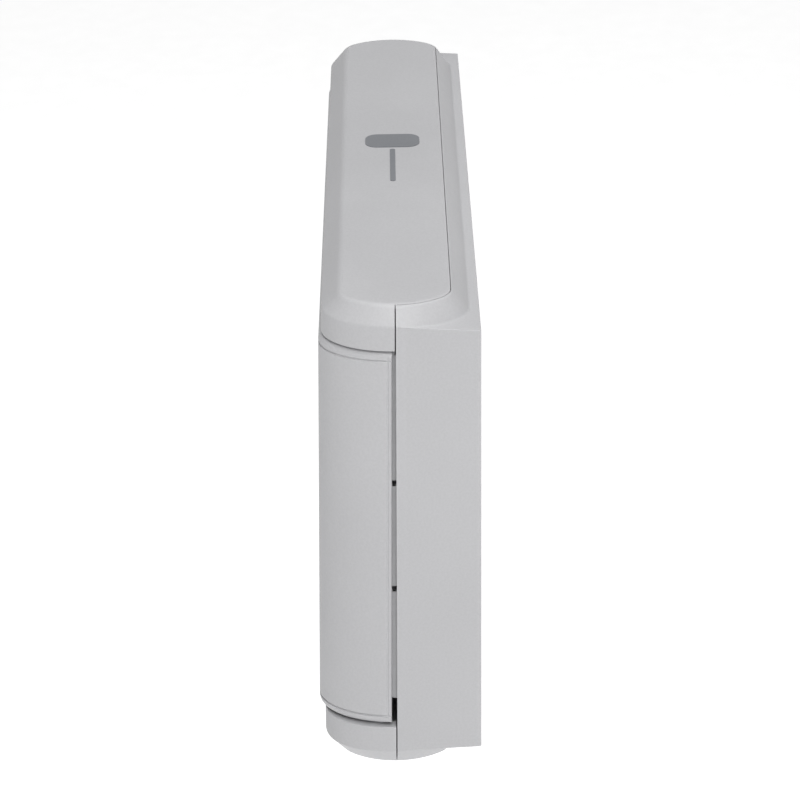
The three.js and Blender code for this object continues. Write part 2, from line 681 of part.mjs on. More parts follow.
// ---- Materials ----
const plastic = new THREE.MeshStandardMaterial({ color: 0xc6c6c8, roughness: 0.5, metalness: 0 });
const trimGrey = new THREE.MeshStandardMaterial({ color: 0xa9aaac, roughness: 0.45 });
const inner = new THREE.MeshStandardMaterial({ color: 0xb4b5b7, roughness: 0.6 });
const steel = new THREE.MeshStandardMaterial({ color: 0xb9bbbd, roughness: 0.3, metalness: 1 });
const rubber = new THREE.MeshStandardMaterial({ color: 0x2c2c2e, roughness: 0.8 });
const print = new THREE.MeshStandardMaterial({ color: 0x808286, roughness: 0.5 });

// ---- Assembly ----
const dispenser = new THREE.Group();

function add(name, shape, material, group = dispenser) {
  const geometry = shape instanceof THREE.BufferGeometry ? shape : geometryOf(shape);
  const mesh = new THREE.Mesh(geometry, material);
  mesh.name = name;
  group.add(mesh);
  return mesh;
}

add("back_shell", backShell(), plastic);
add("front_cover", frontCover(), plastic);
add("front_panel", frontPanel(), plastic);
add("opening_trim", openingTrim(), trimGrey);
add("mark_tag", mark(MARK_TAG), print);
add("mark_bar", mark(MARK_BAR), print);

add("lock_barrel", lockBarrel(), steel);
add("lock_nut", lockNut(), steel);
add("lock_plug", lockPlug(), steel);
add("lock_cam", lockCam(), steel);
add("keeper", keeper(), steel);

add("pack_shelf", packShelf(), inner);
add("pack_guide_right", packGuide(1), inner);
add("pack_guide_left", packGuide(-1), inner);

for (const [side, word] of [
  [1, "right"],
  [-1, "left"],
]) {
  const pin = add("hinge_pin_" + word, hingePin(), steel);
  pin.rotation.z = Math.PI / 2;
  pin.position.set(side * HINGE_X, -HINGE_DEPTH, HINGE_Z);

  const keeperScrew = add("keeper_screw_" + word, screw(7), steel);
  const under = KEEPER_TOP - KEEPER_WALL - 0.3;
  keeperScrew.position.set(side * KEEPER_SCREW_X, -KEEPER_SCREW_DEPTH, under);

  STOP_Z.forEach((z, i) => {
    const pad = add("bumper_" + ["upper_", "lower_"][i] + word, bumper(), rubber);
    pad.rotation.x = Math.PI;
    pad.position.set(side * STOP_X, -(padSeat(z) + 0.3), z);
  });
}

const camScrew = add("cam_screw", screw(6), steel);
camScrew.rotation.x = Math.PI / 2;
camScrew.position.set(0, -(CAM_DEPTH - 0.3), LOCK_Z);

PANEL_SCREWS.forEach(([x, z], i) => {
  const fastener = add("panel_screw_" + (i + 1), screw(6), steel);
  fastener.rotation.x = Math.PI / 2;
  fastener.position.set(x, -(coverInside(z) - 0.3), z);
});

export default dispenser;
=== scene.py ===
"""Looks of the wall-mounted seat cover dispenser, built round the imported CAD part."""

import math

import bmesh
import bpy
import numpy as np
from mathutils import Matrix, Vector


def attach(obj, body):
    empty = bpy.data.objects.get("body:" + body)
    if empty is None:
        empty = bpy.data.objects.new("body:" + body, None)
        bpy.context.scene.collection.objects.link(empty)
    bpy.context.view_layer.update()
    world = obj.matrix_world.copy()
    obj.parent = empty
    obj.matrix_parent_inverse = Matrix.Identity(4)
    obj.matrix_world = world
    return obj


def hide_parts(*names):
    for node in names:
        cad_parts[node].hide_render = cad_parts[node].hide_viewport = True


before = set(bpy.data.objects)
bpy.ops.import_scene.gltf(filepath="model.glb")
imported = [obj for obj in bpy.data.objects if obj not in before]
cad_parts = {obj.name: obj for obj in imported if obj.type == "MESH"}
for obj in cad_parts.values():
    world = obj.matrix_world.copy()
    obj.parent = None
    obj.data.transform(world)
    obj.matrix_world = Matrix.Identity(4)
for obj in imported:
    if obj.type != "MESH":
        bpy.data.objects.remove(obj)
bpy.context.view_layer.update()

MM = 0.001

# ---- Dimensions in mm, the part's own ----
WIDTH, HEIGHT, RISE = 413.0, 273.6, 10.1
SEAM, FRONT = 42.7, 80.2
SEAM_LEAN, FRONT_LEAN = 0.00027, 0.00021
WALL, GAP, DRAFT = 2.8, 0.3, 2.3
CORNER_X, BASE_HALF = 27.5, FRONT - SEAM
PLATEAU_HALF, PLATEAU_SET, PLATEAU_END_R, PLATEAU_FILLET = 28.4, 5.8, 38.0, 14.0
PANEL_TOP, PANEL_BOTTOM = 112.5, -109.2
PANEL_PROUD_TOP, PANEL_PROUD_BOTTOM = 1.5, 3.1
PANEL_WALL, PANEL_EDGE = 2.8, 1.6
RECESS, RECESS_WALL = 4.0, 2.5
RECESS_TOP, RECESS_BOTTOM = PANEL_TOP + 0.9, PANEL_BOTTOM - 2.1
LIP, LIP_BOTTOM = 5.0, -94.5
SNAP_SLOTS, SNAP_SLOT = (36.3, -26.8), 3.5
OPENING_Z, OPENING_X, OPENING_R = -12.0, 100.0, 31.0
TRIM_WALL, TRIM_FLANGE, TRIM_LIFT, TRIM_DEPTH, TRIM_CLEAR = 2.0, 5.0, 1.3, 12.0, 0.35
LOCK_Z, LOCK_R, LOCK_HEAD_R = 92.0, 9.5, 12.0
HINGE_X, HINGE_R, HINGE_PIN_R = 140.0, 2.7, 1.2
COVER_KNUCKLE, SHELL_KNUCKLE, KNUCKLE_GAP, ROLL_HALF = 30.0, 16.0, 0.5, 181.0
SWING_X = (180.0, 192.0)
WALL_HOLE_X, WALL_HOLE_Z = 150.0, 78.0
STOP_X, STOP_Z, PAD = 200.0, (100.0, -84.0), 3.4
PANEL_SCREWS = [(x, z) for z in (88, -12, -88) for x in (-165, 165)]

TOP = HEIGHT / 2
END_TOP = TOP - RISE
LEAN_FADE = (SEAM_LEAN - FRONT_LEAN) / (FRONT - SEAM)
LEAN = SEAM_LEAN + LEAN_FADE * SEAM


def deep_at(d, z):
    return d * (1 + (TOP - z) * (LEAN - LEAN_FADE * d))


HINGE_Z = -TOP + HINGE_R
HINGE_DEPTH = deep_at(SEAM - PLATEAU_HALF, -TOP) + HINGE_R
SHELL_KNUCKLE_X = COVER_KNUCKLE / 2 + KNUCKLE_GAP + SHELL_KNUCKLE / 2
KNUCKLES = [s * HINGE_X + k * SHELL_KNUCKLE_X for s in (-1, 1) for k in (-1, 1)]

# ---- Softness of the mouldings, in mm ----
FIELD_SOFT = 2.3  # round the upper flat field
LOW_FIELD_SOFT = 0.6  # and the lower one
EDGE_SOFT = 1.1  # round the body's top edges
LOW_SOFT = 0.4  # and its bottom edges
FIELD_IN = 3.0  # from the flat field's edge to where it is quite flat
SEAM_SHARE = 0.09  # of FIELD_SOFT, either side of the joint round the flat field
LOW_POWER = 0.86  # below 1 for fuller corners at the bottom
COLUMNS = 48  # in a quarter of the outline


# ---- Outlines: x and depth against t, from -1 at the wall to 1 at the front ----
def outline_front(t, inset=0.0, power=1.0):
    a = t * math.pi / 2
    along = np.abs(np.cos(a)) ** power
    out = np.abs(np.sin(a)) ** power
    x = WIDTH / 2 - CORNER_X + (CORNER_X - inset) * along
    return np.stack([x, SEAM + np.sign(a) * (BASE_HALF - inset) * out], -1)


def outline_wall(t, inset=0.0):
    split, u = 0.6, -t
    x = np.where(
        u < split,
        WIDTH / 2 - inset,
        WIDTH / 2 - inset - (CORNER_X - inset) * (u - split) / (1 - split),
    )
    d = np.where(u < split, SEAM + (inset - SEAM) * u / split, inset)
    return np.stack([x, d], -1)


def field_end(t, grow=0.0):
    half, fillet = PLATEAU_HALF + grow, PLATEAU_FILLET + grow
    arc = PLATEAU_END_R + grow
    cx = WIDTH / 2 - PLATEAU_SET + grow - arc
    side = half - fillet
    turn = math.asin(side / (arc - fillet))
    fx = cx + math.sqrt((arc - fillet) ** 2 - side**2)
    short, long = fillet * (math.pi / 2 - turn), 2 * arc * turn
    s = (np.asarray(t, float) + 1) / 2 * (2 * short + long)
    a0 = -math.pi / 2 + s / fillet
    a1 = -turn + (s - short) / arc
    a2 = turn + (s - short - long) / fillet
    x = np.where(
        s < short,
        fx + fillet * np.cos(a0),
        np.where(s < short + long, cx + arc * np.cos(a1), fx + fillet * np.cos(a2)),
    )
    d = np.where(
        s < short,
        SEAM - side + fillet * np.sin(a0),
        np.where(s < short + long, SEAM + arc * np.sin(a1), SEAM + side + fillet * np.sin(a2)),
    )
    return np.stack([x, d], -1)


def drafted(d, inset=0.0):
    return END_TOP - inset - DRAFT * np.maximum(0, 1 - d / SEAM)


def leaned(p):
    """Points of x, depth and z in mm, as x, y and z of the row frame in metres."""
    p = np.asarray(p, float)
    out = p.copy()
    out[..., 1] = -deep_at(p[..., 1], p[..., 2])
    return out * MM


def soften(corners, radii, shares=None):
    """Points along each polyline of corners (columns, corners, 3), rounded at every corner."""
    spread = np.linspace(-1, 1, 9)
    taps = (np.arange(24) + 0.5) / 12 - 1
    out = []
    for line in corners:
        step = np.linalg.norm(np.diff(line, axis=0), axis=1)
        at = np.concatenate([[0], np.cumsum(step)])
        at[1:] += np.arange(1, len(at)) * 1e-7
        places, widths = [0.0], [0.01]
        for k, r in enumerate(radii):
            for u in shares[k] if shares and shares.get(k) else spread:
                places.append(at[k + 1] + r * u)
                widths.append(r)
        places.append(at[-1])
        widths.append(0.01)
        order = np.argsort(places, kind="stable")
        places, widths = np.array(places)[order], np.array(widths)[order]
        s = places[:, None] + widths[:, None] * taps[None]
        pts = np.stack([np.interp(s, at, line[:, i]).mean(1) for i in range(3)], -1)
        pts[0], pts[-1] = line[0], line[-1]
        out.append(pts)
    return np.array(out)


# ---- Meshes ----
class Skin:
    """Collects faces by their corners' places, and welds what coincides."""

    def __init__(self):
        self.points, self.faces, self.key = [], [], {}

    def add(self, p):
        k = tuple(np.round(np.asarray(p) * 1e7).astype(int))
        if k not in self.key:
            self.key[k] = len(self.points)
            self.points.append(tuple(float(c) for c in p))
        return self.key[k]

    def face(self, pts):
        ids = []
        for p in pts:
            i = self.add(p)
            if i not in ids:
                ids.append(i)
        if len(ids) > 2:
            self.faces.append(ids)

    def grid(self, g, flip=False):
        """Faces between neighbouring columns and rows of points."""
        for a, b in zip(g[:-1], g[1:]):
            for j in range(len(a) - 1):
                quad = [a[j], b[j], b[j + 1], a[j + 1]]
                self.face(quad[::-1] if flip else quad)

    def object(self, name, angle=32.0):
        mesh = bpy.data.meshes.new(name)
        mesh.from_pydata(self.points, [], self.faces)
        mesh.validate()
        bm = bmesh.new()
        bm.from_mesh(mesh)
        bmesh.ops.recalc_face_normals(bm, faces=bm.faces)
        bm.to_mesh(mesh)
        bm.free()
        obj = bpy.data.objects.new(name, mesh)
        bpy.context.scene.collection.objects.link(obj)
        smooth(obj, angle)
        return obj


def smooth(obj, angle=32.0):
    obj.data.shade_smooth()
    obj.data.set_sharp_from_angle(angle=math.radians(angle))


def mirrored(g):
    """The same columns at the other end, in reverse, so that a ring goes on round."""
    out = g[::-1].copy()
    out[..., 0] *= -1
    return out


def bake(obj, angle=32.0):
    """obj with its modifiers applied."""
    dg = bpy.context.evaluated_depsgraph_get()
    mesh = bpy.data.meshes.new_from_object(obj.evaluated_get(dg))
    obj.modifiers.clear()
    obj.data = mesh
    smooth(obj, angle)
    return obj


def carve(obj, cutters, angle=32.0):
    """obj less the cutters, which are then deleted."""
    for c in cutters:
        m = obj.modifiers.new("cut", "BOOLEAN")
        m.operation, m.solver, m.object = "DIFFERENCE", "EXACT", c
    bake(obj, angle)
    for c in cutters:
        bpy.data.objects.remove(c)
    return obj


def merge(obj, others, angle=32.0):
    """One object of all the meshes."""
    bm = bmesh.new()
    bm.from_mesh(obj.data)
    for o in others:
        bm.from_mesh(o.data)
        bpy.data.objects.remove(o)
    bm.to_mesh(obj.data)
    bm.free()
    smooth(obj, angle)
    return obj


def rounded(obj, width, segments=3, limit=30.0):
    """obj with its edges bevelled."""
    m = obj.modifiers.new("edges", "BEVEL")
    m.width, m.segments, m.limit_method = width * MM, segments, "ANGLE"
    m.angle_limit = math.radians(limit)
    m.use_clamp_overlap = True
    m.harden_normals = False
    return bake(obj, 40)


def prism(name, outline, low, high, axis, lean=False):
    """A closed body over an outline in mm, between two places along an axis: x, y (depth) or z."""
    bm = bmesh.new()

    def place(u, v, w):
        if axis == "x":
            p = (w, u, v)
        elif axis == "y":
            p = (u, w, v)
        else:
            p = (u, v, w)
        if lean:
            return leaned(np.array(p))
        return np.array([p[0], -p[1], p[2]]) * MM

    rings = [[bm.verts.new(place(u, v, w)) for u, v in outline] for w in (low, high)]
    bm.faces.new(rings[0])
    bm.faces.new(rings[1][::-1])
    n = len(outline)
    for i in range(n):
        j = (i + 1) % n
        bm.faces.new([rings[0][j], rings[0][i], rings[1][i], rings[1][j]])
    bmesh.ops.recalc_face_normals(bm, faces=bm.faces)
    mesh = bpy.data.meshes.new(name)
    bm.to_mesh(mesh)
    bm.free()
    obj = bpy.data.objects.new(name, mesh)
    bpy.context.scene.collection.objects.link(obj)
    return obj


def slab(name, x, d, z, lean=False):
    outline = [(x[0], d[0]), (x[1], d[0]), (x[1], d[1]), (x[0], d[1])]
    return prism(name, outline, z[0], z[1], "z", lean)


def circle(u, v, r, n=48):
    return [
        (u + r * math.cos(2 * math.pi * i / n), v + r * math.sin(2 * math.pi * i / n))
        for i in range(n)
    ]


def stadium(grow, n=24):
    r, run = OPENING_R + grow, OPENING_X - OPENING_R
    ends = []
    for sign, start in ((1, -math.pi / 2), (-1, math.pi / 2)):
        for i in range(n + 1):
            a = start + math.pi * i / n
            ends.append((sign * run + r * math.cos(a), OPENING_Z + r * math.sin(a)))
    return ends


def lathe(name, profile, axis, centre, steps=64, angle=32.0):
    """A body turned about an axis through centre, from radius and place along it, in mm."""
    skin = Skin()
    cols = []
    for i in range(steps + 1):
        a = 2 * math.pi * (i % steps) / steps
        col = []
        for r, w in profile:
            u, v = r * math.cos(a), r * math.sin(a)
            if axis == "y":
                p = (centre[0] + u, -(centre[1] + w), centre[2] + v)
            elif axis == "x":
                p = (centre[0] + w, -(centre[1] + u), centre[2] + v)
            else:
                p = (centre[0] + u, -(centre[1] + v), centre[2] + w)
            col.append(np.array(p) * MM)
        cols.append(col)
    skin.grid(cols)
    return skin.object(name, angle)


# ---- Outer form ----
FIELD_SHARES = [-1, -0.75, -0.5, -0.25, -SEAM_SHARE, SEAM_SHARE, 0.25, 0.5, 0.75, 1]
T = np.linspace(0, 1, COLUMNS + 1)


def corners(t, front, inset, bottom_d=None):
    """The corners of the profile at each t, from the top field down to the bottom field."""
    n = len(t)
    tt = t if front else -t
    field = field_end(tt, -0.6 * inset)
    deep_in = field_end(tt, -0.6 * inset - FIELD_IN)
    up = TOP - inset

    def place(xd, z):
        return np.column_stack([xd, np.broadcast_to(z, n)])

    if front:
        edge = outline_front(tt, inset)
        low = outline_front(tt, inset, LOW_POWER)
        high = END_TOP - inset
        if inset:
            back = outline_front(tt, RECESS + RECESS_WALL)
            ins = [(back, RECESS_TOP + RECESS_WALL), (back, RECESS_BOTTOM - RECESS_WALL)]
            mid = [place(edge, ins[0][1]), place(*ins[0]), place(*ins[1]), place(low, ins[1][1])]
        else:
            back = outline_front(tt, RECESS)
            mid = [
                place(edge, RECESS_TOP),
                place(back, RECESS_TOP),
                place(back, RECESS_BOTTOM),
                place(low, RECESS_BOTTOM),
            ]
        line = [place(edge, high), *mid, place(low, -high)]
    else:
        base = outline_front(tt, inset)
        low = outline_front(tt, inset, LOW_POWER)
        edge = outline_wall(tt, inset)
        zb, ze, zl = (drafted(p[:, 1], inset) for p in (base, edge, low))
        line = [place(base, zb), place(edge, ze), place(edge, -ze), place(low, -zl)]
    lines = [place(deep_in, up), place(field, up), *line, place(field, -up), place(deep_in, -up)]
    return np.stack(lines, 1)


def profile(front, inset):
    c = corners(T, front, inset)
    soft = 1.0 if inset else FIELD_SOFT
    edge = 0.8 if inset else EDGE_SOFT
    if front:
        radii = [soft, edge, 0.5, 0.4, 0.4, 0.7, LOW_SOFT, LOW_FIELD_SOFT]
    else:
        radii = [soft, edge, edge * 0.55, edge * 0.55, LOW_SOFT, LOW_FIELD_SOFT]
    last = len(radii) - 1
    shares = {0: FIELD_SHARES, last: [-u for u in FIELD_SHARES[::-1]]}
    return soften(c, radii, shares)


CUT = 1 + FIELD_SHARES.index(SEAM_SHARE)  # first sample below the joint round the field


def clamp(g, low=None, high=None):
    g = g.copy()
    if low is not None:
        g[..., 1] = np.maximum(g[..., 1], low)
    if high is not None:
        g[..., 1] = np.minimum(g[..., 1], high)
    return g


def ring_of(g):
    """Columns for t from 0 to 1 at the right-hand end, carried round to the left-hand end."""
    return np.concatenate([g, mirrored(g)])


def cover_moulding():
    skin = Skin()
    outer = leaned(ring_of(clamp(profile(True, 0.0), low=SEAM + GAP)))
    inner = leaned(ring_of(clamp(profile(True, WALL), low=SEAM + GAP)))
    skin.grid(outer)
    skin.grid(inner, flip=True)
    wall_side = profile(False, 0.0)
    for sign in (1, -1):
        rear = HINGE_DEPTH if sign < 0 else -1.0
        pick = slice(0, CUT) if sign > 0 else slice(wall_side.shape[1] - CUT, None)
        part = wall_side[:, pick]
        if sign < 0:
            part = part[:, ::-1]
        rim = part[:, -1].copy()
        rim[:, 2] = sign * (TOP - WALL)
        deep = field_end(-T, -0.6 * WALL - FIELD_IN)
        under = np.column_stack([deep, np.full(len(T), sign * (TOP - WALL))])
        skirt = np.concatenate([part, rim[:, None], under[:, None]], 1)
        skirt[0, :, 1] = SEAM + GAP
        if sign < 0:
            shallow = skirt[..., 1] < rear
            skirt[..., 1] = np.where(shallow, rear, skirt[..., 1])
        whole = leaned(ring_of(skirt))
        skin.grid(whole, flip=sign > 0)
        fields = []
        for layer, k in (("out", 0), ("in", -1)):
            front = outer if layer == "out" else inner
            j = 0 if sign > 0 else -1
            right = np.concatenate([whole[: COLUMNS + 1, k][::-1], front[: COLUMNS + 1, j][1:]])
            fields.append(right)
        for right in fields:
            left = right.copy()
            left[:, 0] *= -1
            for i in range(len(right) - 1):
                skin.face([right[i], right[i + 1], left[i + 1], left[i]])
        if sign > 0:
            top_skirt = whole
        else:
            bottom_skirt = whole
    for end in (0, -1):
        loop = [
            *outer[end, CUT - 1 : outer.shape[1] - CUT + 1],
            *bottom_skirt[end, CUT:],
            *inner[end, ::-1][1:],
            *top_skirt[end, CUT : top_skirt.shape[1] - 1][::-1],
        ]
        skin.face(loop)
    return skin.object("cover_moulding")


def shell_moulding():
    skin = Skin()
    outer = clamp(profile(False, 0.0), high=SEAM - GAP)
    c = corners(T, False, WALL)
    base, field = c[:, 2], c[:, 1]
    target = outer[:, CUT, :2]
    v = (field - base)[:, :2]
    share = np.einsum("ij,ij->i", target - base[:, :2], v) / np.einsum("ij,ij->i", v, v)
    top = base + (field - base) * share[:, None]
    low = top * [1, 1, -1]
    line = np.stack([top, c[:, 2], c[:, 3], c[:, 4], c[:, 5], low], 1)
    inner = clamp(soften(line, [0.8, 0.6, 0.6, 0.8]), high=SEAM - GAP)
    o = outer[:, CUT : outer.shape[1] - CUT]
    o, i = leaned(ring_of(o)), leaned(ring_of(inner))
    skin.grid(o)
    skin.grid(i, flip=True)
    for j in (0, -1):
        for k in range(len(o) - 1):
            skin.face([o[k][j], o[k + 1][j], i[k + 1][j], i[k][j]])
    for k in (0, -1):
        skin.face([*o[k], *i[k][::-1]])
    return skin.object("shell_moulding")


# ---- Front panel ----
def panel_face(z):
    top = deep_at(FRONT, PANEL_TOP) + PANEL_PROUD_TOP
    bottom = deep_at(FRONT, PANEL_BOTTOM) + PANEL_PROUD_BOTTOM
    return top + (bottom - top) * (PANEL_TOP - z) / (PANEL_TOP - PANEL_BOTTOM)


RIM_STEPS = [0, 0.03, 0.1, 0.22, 0.38, 0.56, 0.78, 1.0]  # shares of the rim's width
GROOVE_STEPS = [0.15, 0.3, 0.45, 0.7, 0.95, 1.15, 1.35, 1.55, 2.2, 4.0]  # mm beyond the rim
SIDE_RIM, TOP_RIM, BOTTOM_RIM = 1.5, 4.0, 4.2
GROOVE, TOP_GROOVE, LOW_GROOVE = 0.4, 0.6, 0.7
EDGE_FALL = 1.1  # how much farther from the seam the panel's rear edge is, lower down


def edge_steps(rim):
    return [rim * u for u in RIM_STEPS] + [rim + v for v in GROOVE_STEPS]


def border(e, rim, groove=GROOVE, power=0.5):
    """How far the panel's surface lies below its flat, at a distance from its edge."""
    e = np.asarray(e, float)
    drop = min(rim, 2.7)
    u = np.clip(1 - e / rim, 0, 1)
    curve = drop * (1 - (1 - u**2) ** power)
    down = np.clip((e - rim) / 0.4, 0, 1) * np.clip((rim + 1.6 - e) / 0.7, 0, 1)
    return curve + groove * down * down * (3 - 2 * down)


def panel_skin():
    heights = [PANEL_TOP - e for e in edge_steps(TOP_RIM)]
    heights += list(np.linspace(PANEL_TOP - 14, PANEL_BOTTOM + 14, 22))
    heights += [PANEL_BOTTOM + e for e in edge_steps(BOTTOM_RIM)[::-1]]
    heights = np.array(heights)
    near = np.maximum(
        border(PANEL_TOP - heights, TOP_RIM, TOP_GROOVE, 0.85),
        border(heights - PANEL_BOTTOM, BOTTOM_RIM, LOW_GROOVE),
    )
    cols = []
    deep = BASE_HALF + PANEL_PROUD_BOTTOM
    for e in edge_steps(SIDE_RIM):
        cols.append((math.asin((PANEL_EDGE + e) / deep), e))
    start = cols[-1][0]
    for a in np.linspace(start, math.pi / 2, 44)[1:]:
        cols.append((a, 99.0))

    def layer(inset, shaped):
        g = []
        for a, e in cols:
            proud = panel_face(heights) - deep_at(FRONT, heights)
            bowl = BASE_HALF + proud - inset
            x = np.full_like(bowl, WIDTH / 2 - CORNER_X + (CORNER_X - inset) * math.cos(a))
            d = SEAM + bowl * math.sin(a)
            if shaped:
                off = np.maximum(near, border(e, SIDE_RIM) if e < 90 else 0)
                nx, nd = math.cos(a) / CORNER_X, math.sin(a) / BASE_HALF
                size = math.hypot(nx, nd)
                x, d = x - off * nx / size, d - off * nd / size
            if e < 90:
                d = SEAM + PANEL_EDGE + e + EDGE_FALL * (PANEL_TOP - heights) / HEIGHT
            g.append(np.column_stack([x, d, heights]))
        return leaned(ring_of(np.array(g)))

    skin = Skin()
    o, i = layer(0.0, True), layer(PANEL_WALL, False)
    skin.grid(o)
    skin.grid(i, flip=True)
    for j in (0, -1):
        for k in range(len(o) - 1):
            skin.face([o[k][j], o[k + 1][j], i[k + 1][j], i[k][j]])
        for k in range(len(heights) - 1):
            skin.face([o[j][k], o[j][k + 1], i[j][k + 1], i[j][k]])
    return skin.object("panel_skin", 50)


def trim_ring():
    skin = Skin()
    lift = 0.3 + TRIM_LIFT
    r = 1.0
    path = [(TRIM_WALL, -TRIM_DEPTH), (0.5, -TRIM_DEPTH), (0, -TRIM_DEPTH + 0.5)]
    path += [
        (r - r * math.cos(a), lift - r + r * math.sin(a))
        for a in np.linspace(0, math.pi / 2, 7)
    ]
    path += [
        (TRIM_FLANGE - r + r * math.sin(a), lift - r + r * math.cos(a))
        for a in np.linspace(0, math.pi / 2, 7)
    ]
    path += [(TRIM_FLANGE, 0.3), (TRIM_WALL, 0.3), (TRIM_WALL, -TRIM_DEPTH)]
    cols = []
    rings = [stadium(o, 40) for o, _ in path]
    count = len(rings[0])
    for k in range(count + 1):
        col = []
        for ring, (_, h) in zip(rings, path):
            x, z = ring[k % count]
            col.append(np.array([x, -(panel_face(z) + h), z]) * MM)
        cols.append(col)
    skin.grid(cols)
    return skin.object("trim_ring", 40)


# ---- Materials ----
def srgb(r, g=None, b=None):
    def one(v):
        v /= 255
        return v / 12.92 if v <= 0.04045 else ((v + 0.055) / 1.055) ** 2.4

    g, b = (r if g is None else g), (r if b is None else b)
    return (one(r), one(g), one(b), 1)


def finish_of(name, dark, light, rough, grain=1400, bump=0.12, metal=0.0, stretch=None, wear=0.25):
    """A procedural finish: broad tone, fine grain, edge wear, uneven gloss and a fine bump."""
    mat = bpy.data.materials.new(name)
    mat.use_nodes = True
    nt = mat.node_tree
    bsdf = nt.nodes["Principled BSDF"]
    bsdf.inputs["Metallic"].default_value = metal
    bsdf.inputs["IOR"].default_value = 1.48
    link = nt.links.new
    coord = nt.nodes.new("ShaderNodeTexCoord")
    mapping = nt.nodes.new("ShaderNodeMapping")
    if stretch:
        mapping.inputs["Scale"].default_value = stretch
    link(coord.outputs["Object"], mapping.inputs["Vector"])

    def noise(scale, detail, from_map=True):
        n = nt.nodes.new("ShaderNodeTexNoise")
        n.inputs["Scale"].default_value = scale
        n.inputs["Detail"].default_value = detail
        source = mapping.outputs["Vector"] if from_map else coord.outputs["Object"]
        link(source, n.inputs["Vector"])
        return n.outputs["Fac"]

    def ramp(source, stops):
        r = nt.nodes.new("ShaderNodeValToRGB")
        r.color_ramp.elements[0].position, r.color_ramp.elements[0].color = stops[0]
        r.color_ramp.elements[1].position, r.color_ramp.elements[1].color = stops[1]
        link(source, r.inputs["Fac"])
        return r.outputs["Color"]

    def mix(kind, fac, a, b):
        m = nt.nodes.new("ShaderNodeMix")
        m.data_type, m.blend_type = "RGBA", kind
        if isinstance(fac, float):
            m.inputs["Factor"].default_value = fac
        else:
            link(fac, m.inputs["Factor"])
        for socket, value in (("A", a), ("B", b)):
            target = [s for s in m.inputs if s.name == socket and s.type == "RGBA"][0]
            if isinstance(value, tuple):
                target.default_value = value
            else:
                link(value, target)
        return [s for s in m.outputs if s.type == "RGBA"][0]

    broad = ramp(noise(9, 3, False), [(0.3, dark), (0.7, light)])
    speckle = ramp(noise(grain * 0.55, 2), [(0.35, (0.955, 0.955, 0.955, 1)), (0.65, (1, 1, 1, 1))])
    tone = mix("MULTIPLY", 1.0, broad, speckle)
    geo = nt.nodes.new("ShaderNodeNewGeometry")
    edge = ramp(geo.outputs["Pointiness"], [(0.505, (0, 0, 0, 1)), (0.56, (wear, wear, wear, 1))])
    patches = ramp(noise(160, 4), [(0.4, (0, 0, 0, 1)), (0.7, (1, 1, 1, 1))])
    scuff = mix("MULTIPLY", 1.0, edge, patches)
    worn = tuple(min(1, c * 1.18) for c in light[:3]) + (1,)
    link(mix("MIX", scuff, tone, worn), bsdf.inputs["Base Color"])
    gloss = nt.nodes.new("ShaderNodeMapRange")
    link(noise(34, 5), gloss.inputs["Value"])
    gloss.inputs["From Min"].default_value, gloss.inputs["From Max"].default_value = 0.3, 0.7
    gloss.inputs["To Min"].default_value, gloss.inputs["To Max"].default_value = rough
    link(gloss.outputs["Result"], bsdf.inputs["Roughness"])
    b = nt.nodes.new("ShaderNodeBump")
    b.inputs["Strength"].default_value = bump
    b.inputs["Distance"].default_value = 0.00012
    link(noise(grain, 4), b.inputs["Height"])
    link(b.outputs["Normal"], bsdf.inputs["Normal"])
    return mat


CASING = finish_of("casing_plastic", srgb(181, 181, 183), srgb(186, 186, 188), (0.44, 0.54))
PANEL = finish_of("panel_plastic", srgb(181, 181, 183), srgb(186, 186, 188), (0.42, 0.52))
TRIM = finish_of("trim_plastic", srgb(150, 151, 154), srgb(157, 158, 161), (0.36, 0.46))
FITTINGS = finish_of("fittings_plastic", srgb(176, 177, 179), srgb(184, 185, 187), (0.5, 0.6))
PRINT = finish_of("print_ink", srgb(124, 126, 130), srgb(131, 133, 137), (0.4, 0.5), wear=0.05)
LOCK = finish_of(
    "lock_nickel", srgb(176, 176, 172), srgb(196, 196, 192), (0.2, 0.34),
    grain=700, bump=0.1, metal=1.0, stretch=(1, 1, 14),
)
STEEL = finish_of(
    "plated_steel", srgb(166, 168, 172), srgb(188, 190, 193), (0.26, 0.42),
    grain=600, bump=0.14, metal=1.0, stretch=(9, 1, 1),
)
RUBBER = finish_of("black_rubber", srgb(34, 34, 36), srgb(46, 46, 48), (0.72, 0.86), bump=0.3)


def place(obj, mat, body, slot, *nodes):
    obj.data.materials.clear()
    obj.data.materials.append(mat)
    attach(obj, body)
    if nodes:
        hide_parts(*nodes)
    return obj


# ---- Pieces: shell ----
shell = shell_moulding()
cutters = []
for side in (-1, 1):
    x = side * WALL_HOLE_X
    cutters.append(prism("hole", circle(x, WALL_HOLE_Z, 5), -4, 8, "y"))
    neck = [(x - 2.6, WALL_HOLE_Z), (x + 2.6, WALL_HOLE_Z)]
    neck += [
        (x + 2.6 * math.cos(a), WALL_HOLE_Z + 10 + 2.6 * math.sin(a))
        for a in np.linspace(0, math.pi, 17)
    ]
    cutters.append(prism("neck", neck, -5, 9, "y"))
    cutters.append(prism("hole", circle(x, -WALL_HOLE_Z, 2.6), -4, 8, "y"))
    xs = SWING_X if side > 0 else (-SWING_X[1], -SWING_X[0])
    cutters.append(
        slab("swing", xs, (HINGE_DEPTH - HINGE_R - 0.4, HINGE_DEPTH + 3), (-TOP - 5, HINGE_Z + 0.4))
    )
shell = carve(shell, cutters)
extras = []
